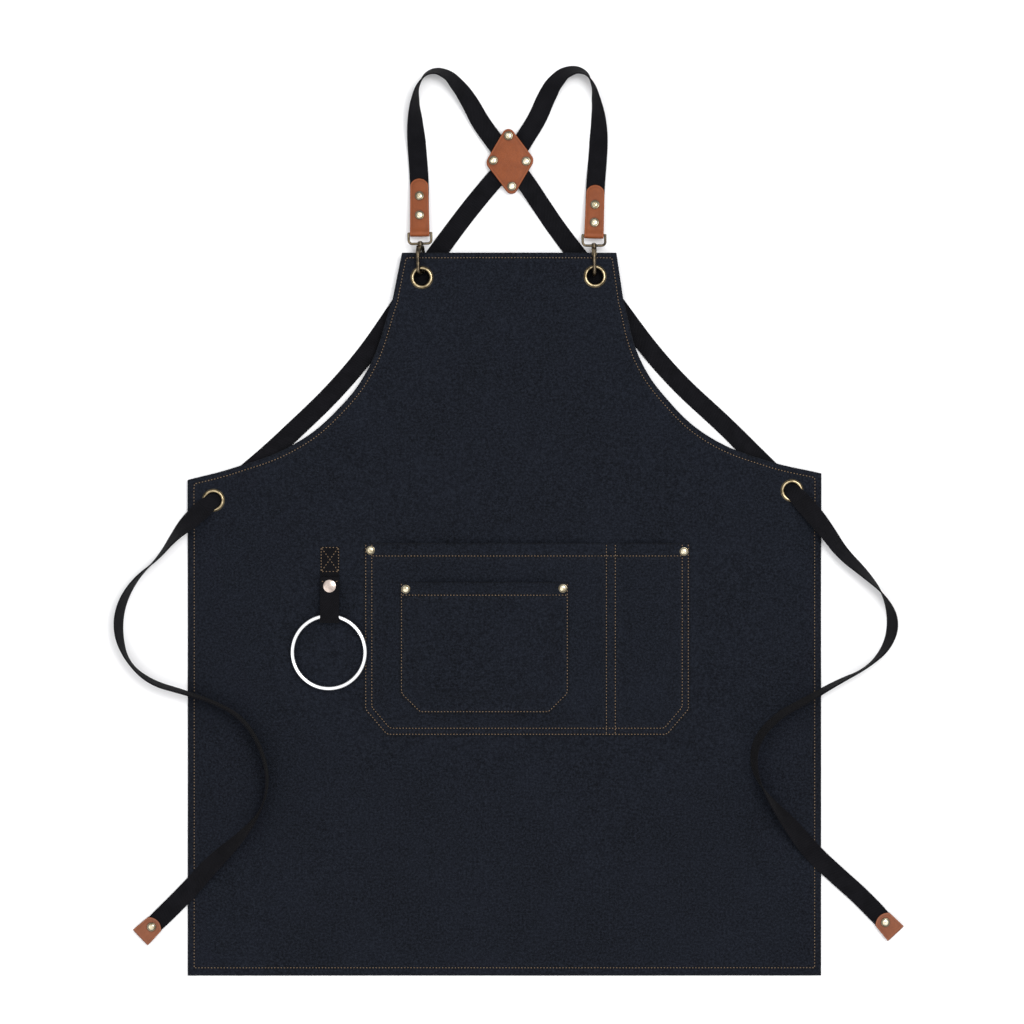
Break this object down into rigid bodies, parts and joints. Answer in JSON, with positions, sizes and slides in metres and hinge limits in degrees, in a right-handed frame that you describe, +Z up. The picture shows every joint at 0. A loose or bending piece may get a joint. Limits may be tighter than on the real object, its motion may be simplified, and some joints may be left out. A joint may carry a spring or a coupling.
{
  "type": "bib apron",
  "caption": "Denim bib apron with cross-back webbing straps clipped to brass grommets, waist ties with leather tips, a split front pocket, a small pocket and a towel ring.",
  "frame": {"origin": "centre of the laid-out apron's outline, without the free waist ties, on the surface it lies on", "axes": "+Y from the hem towards the bib, +Z up out of the apron's front, +X to the right of a person looking at the front"},
  "size_m": [0.8465, 0.9766, 0.0216],
  "materials": {
    "denim": "indigo black twill denim with flecks",
    "webbing": "woven cotton webbing",
    "leather": "smooth tan leather with cut edges",
    "eyelet_brass": "antique brass, satin",
    "rivet_brass": "pale polished brass",
    "hook_brass": "dark antique brass",
    "spring_steel": "spring steel",
    "ring_steel": "bright plated steel",
    "snap_metal": "pale plated snap"
  },
  "bodies": {
    "apron": {"apron_panel": "denim", "large_pocket": "denim", "small_pocket": "denim", "left_bib_eyelet": "eyelet_brass", "left_bib_washer": "eyelet_brass", "right_bib_eyelet": "eyelet_brass", "right_bib_washer": "eyelet_brass", "left_side_eyelet": "eyelet_brass", "left_side_washer": "eyelet_brass", "right_side_eyelet": "eyelet_brass", "right_side_washer": "eyelet_brass", "pocket_rivet_posts": "rivet_brass", "pocket_rivet_caps": "rivet_brass", "left_hook_tab": "leather", "left_hook_tab_rivet_posts": "rivet_brass", "left_hook_tab_rivet_caps": "rivet_brass", "right_hook_tab": "leather", "right_hook_tab_rivet_posts": "rivet_brass", "right_hook_tab_rivet_caps": "rivet_brass", "cross_patch_back": "leather", "cross_patch_front": "leather", "cross_patch_rivet_posts": "rivet_brass", "cross_patch_rivet_caps": "rivet_brass", "left_tie_tip": "leather", "left_tie_tip_rivet_posts": "rivet_brass", "left_tie_tip_rivet_caps": "rivet_brass", "right_tie_tip": "leather", "right_tie_tip_rivet_posts": "rivet_brass", "right_tie_tip_rivet_caps": "rivet_brass", "strap_from_left_hook": "webbing", "strap_from_right_hook": "webbing", "left_waist_tie": "webbing", "right_waist_tie": "webbing", "ring_tab_back": "webbing", "ring_tab_fold": "webbing", "snap_stud": "snap_metal"},
    "left_loop": {"left_d_loop": "hook_brass"},
    "left_hook": {"left_snap_hook": "hook_brass", "left_gate_pin": "spring_steel", "left_gate_spring": "spring_steel"},
    "left_gate": {"left_gate": "hook_brass"},
    "right_loop": {"right_d_loop": "hook_brass"},
    "right_hook": {"right_snap_hook": "hook_brass", "right_gate_pin": "spring_steel", "right_gate_spring": "spring_steel"},
    "right_gate": {"right_gate": "hook_brass"},
    "towel_ring": {"towel_ring": "ring_steel"},
    "ring_flap": {"ring_tab_flap": "webbing", "snap_socket": "snap_metal", "snap_cap": "snap_metal"}
  },
  "joints": [
    {"name": "left_loop_pivot", "type": "hinge", "parent": "apron", "child": "left_loop", "pos_m": [-0.0906, 0.3076, 0.0105], "axis": [-0.9994, -0.0349, 0], "range_deg": [0, 2]},
    {"name": "left_hook_swivel", "type": "hinge", "parent": "left_loop", "child": "left_hook", "pos_m": [-0.09022, 0.29661, 0.0105], "axis": [0.0349, -0.9994, 0], "range_deg": [-20, 8]},
    {"name": "left_gate_hinge", "type": "hinge", "parent": "left_hook", "child": "left_gate", "pos_m": [-0.08808, 0.28868, 0.00651], "axis": [-0.9058, -0.0316, -0.4226], "range_deg": [0, 12], "stiffness_Nm_per_rad": 0.01, "springref_deg": -17.19, "deforming": ["left_gate_spring"]},
    {"name": "right_loop_pivot", "type": "hinge", "parent": "apron", "child": "right_loop", "pos_m": [0.0958, 0.3056, 0.0105], "axis": [-1, -0.0087, 0], "range_deg": [0, 2]},
    {"name": "right_hook_swivel", "type": "hinge", "parent": "right_loop", "child": "right_hook", "pos_m": [0.0959, 0.2946, 0.0105], "axis": [0.0087, -1, 0], "range_deg": [-15, 15]},
    {"name": "right_gate_hinge", "type": "hinge", "parent": "right_hook", "child": "right_gate", "pos_m": [0.09597, 0.2866, 0.0061], "axis": [-1, -0.0087, 0], "range_deg": [0, 12], "stiffness_Nm_per_rad": 0.01, "springref_deg": -17.19, "deforming": ["right_gate_spring"]},
    {"name": "towel_ring_swing", "type": "hinge", "parent": "apron", "child": "towel_ring", "pos_m": [-0.1884, -0.102, 0.0061], "axis": [-1, 0, 0], "range_deg": [0, 150]},
    {"name": "ring_flap_opening", "type": "hinge", "parent": "apron", "child": "ring_flap", "pos_m": [-0.1874, -0.1044, 0.0068], "axis": [1, 0, 0], "range_deg": [0, 100], "deforming": ["ring_tab_fold"]}
  ]
}
